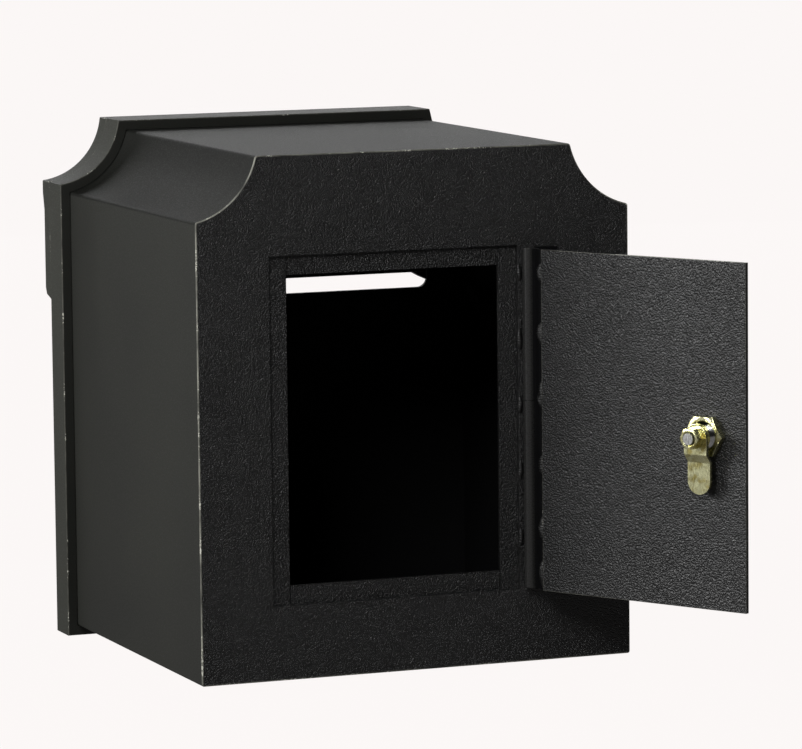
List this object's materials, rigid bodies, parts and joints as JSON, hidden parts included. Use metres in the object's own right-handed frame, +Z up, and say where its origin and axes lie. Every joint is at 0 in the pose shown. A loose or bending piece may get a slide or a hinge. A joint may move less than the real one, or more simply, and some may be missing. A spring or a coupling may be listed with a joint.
{
  "type": "through-wall letter box",
  "caption": "Steel through-wall letter box with scooped top corners, a hooded letter slot on the street side and a cam-locked door on the owner's side.",
  "frame": {"origin": "on the wall lip's flat face that seats against the street side of the wall, in the middle of the lip's bottom strip", "axes": "+X to the right as the owner looks at the door, +Y through the wall towards the street, +Z up"},
  "size_m": [0.3279, 0.4743, 0.364],
  "materials": {
    "powder_coat": "black satin powder coat",
    "powder_coat_grain": "black powder coat with a leather grain",
    "bright_steel": "drawn bright bar",
    "chromed_die_cast": "chrome plated zinc die casting",
    "yellow_zinc": "yellow passivated zinc plate"
  },
  "bodies": {
    "cabinet": {"front_plate": "powder_coat_grain", "left_side": "powder_coat", "right_side": "powder_coat", "left_scoop": "powder_coat", "right_scoop": "powder_coat", "bottom_plate": "powder_coat", "top_plate": "powder_coat", "stop_left": "powder_coat", "stop_right": "powder_coat", "stop_top": "powder_coat", "stop_bottom": "powder_coat", "wall_lip": "powder_coat", "street_face": "powder_coat", "rain_hood": "powder_coat", "hinge_frame_leaf": "powder_coat", "hinge_pin": "bright_steel"},
    "door": {"door_plate": "powder_coat_grain", "hinge_door_leaf": "powder_coat", "lock_body": "chromed_die_cast", "lock_nut": "yellow_zinc"},
    "lock_rotor": {"lock_plug": "chromed_die_cast", "lock_stop_washer": "yellow_zinc", "lock_cam": "yellow_zinc", "cam_nut": "yellow_zinc"}
  },
  "joints": [
    {"name": "door_hinge", "type": "hinge", "parent": "cabinet", "child": "door", "pos_m": [0.0795, -0.2714, 0.17], "axis": [0, 0, 1], "range_deg": [-120, 60]},
    {"name": "lock_turn", "type": "hinge", "parent": "door", "child": "lock_rotor", "pos_m": [0.14834, -0.40544, 0.17], "axis": [-0.866, -0.5, 0], "range_deg": [0, 90]}
  ]
}
